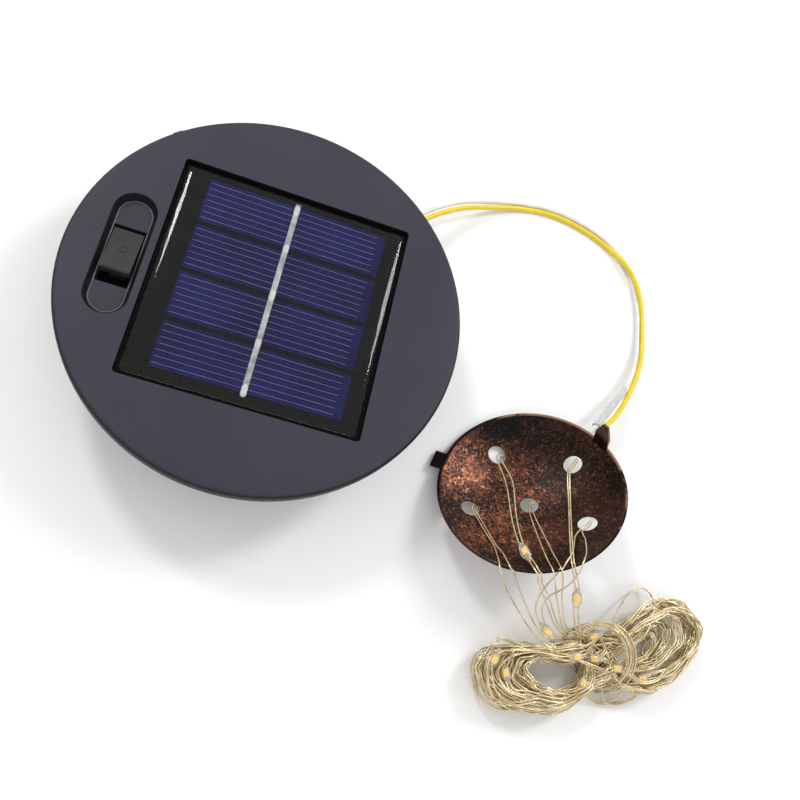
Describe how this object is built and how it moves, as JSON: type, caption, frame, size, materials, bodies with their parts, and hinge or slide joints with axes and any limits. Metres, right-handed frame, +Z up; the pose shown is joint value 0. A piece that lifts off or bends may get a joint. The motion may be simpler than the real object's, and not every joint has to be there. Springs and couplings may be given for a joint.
{
  "type": "solar string lights",
  "caption": "Round solar lid on a battery drum, with a twin lead to a dished copper rose and light strands tied in a hank.",
  "frame": {"origin": "middle of the drum's bottom face, on the table", "axes": "+Z up out of the panel, X and Y along the panel's sides, with the switch on the -X side"},
  "size_m": [0.1507, 0.121, 0.0201],
  "materials": {
    "lid_plastic": "fine matt grain",
    "foam_tape": "foam",
    "board_black": "satin solder mask",
    "cell_blue": "dark silicon",
    "busbar_silver": "tinned",
    "clear_epoxy": "clear gloss",
    "switch_black": "matt",
    "plain_steel": "plated",
    "contact_brass": "bright",
    "housing_plastic": "matt",
    "soft_black": "matt",
    "sleeve_green": "shrunk film",
    "board_green": "solder mask",
    "inductor_green": "lacquered",
    "wire_red": "smooth",
    "wire_black": "smooth",
    "wire_yellow": "smooth",
    "wire_white": "smooth",
    "clear_sleeve": "shrunk tube",
    "solder": "bright solder",
    "aged_copper": "mottled brown patina",
    "strand_metal": "bright champagne",
    "clear_resin": "clear drop",
    "chip_yellow": "phosphor",
    "hank_metal": "bright champagne"
  },
  "bodies": {
    "root": {"lid_cover": "lid_plastic", "panel_tape": "foam_tape", "panel_board": "board_black", "solar_cells": "cell_blue", "cell_busbar": "busbar_silver", "panel_epoxy": "clear_epoxy", "switch_body": "switch_black", "switch_pin": "plain_steel", "switch_terminals": "contact_brass", "housing": "housing_plastic", "lid_gasket": "soft_black", "lid_screws": "plain_steel", "battery_can": "plain_steel", "battery_sleeve": "sleeve_green", "spring_contact": "plain_steel", "plate_contact": "plain_steel", "circuit_board": "board_green", "board_screws": "plain_steel", "driver_chip": "switch_black", "inductor": "inductor_green", "diode": "switch_black", "panel_wires": "wire_red", "switch_wires": "wire_black", "battery_wires": "wire_red", "lead_grommet": "soft_black", "lead_yellow": "wire_yellow", "lead_white": "wire_white", "lead_sleeve": "clear_sleeve", "splice_joints": "solder", "rose_plate": "aged_copper", "strand_1": "strand_metal", "strand_2": "strand_metal", "strand_3": "strand_metal", "strand_4": "strand_metal", "strand_5": "strand_metal", "light_drops": "clear_resin", "light_chips": "chip_yellow", "hank": "hank_metal"},
    "rocker": {"switch_rocker": "switch_black", "switch_contact": "contact_brass"},
    "door": {"battery_door": "housing_plastic"}
  },
  "joints": [
    {"name": "rocker_tilt", "type": "hinge", "parent": "root", "child": "rocker", "pos_m": [-0.0291, 0, 0.0148], "axis": [1, 0, 0], "range_deg": [0, 24]},
    {"name": "door_slide", "type": "slide", "parent": "root", "child": "door", "axis": [-1, 0, 0], "range_m": [0, 0.05]}
  ]
}
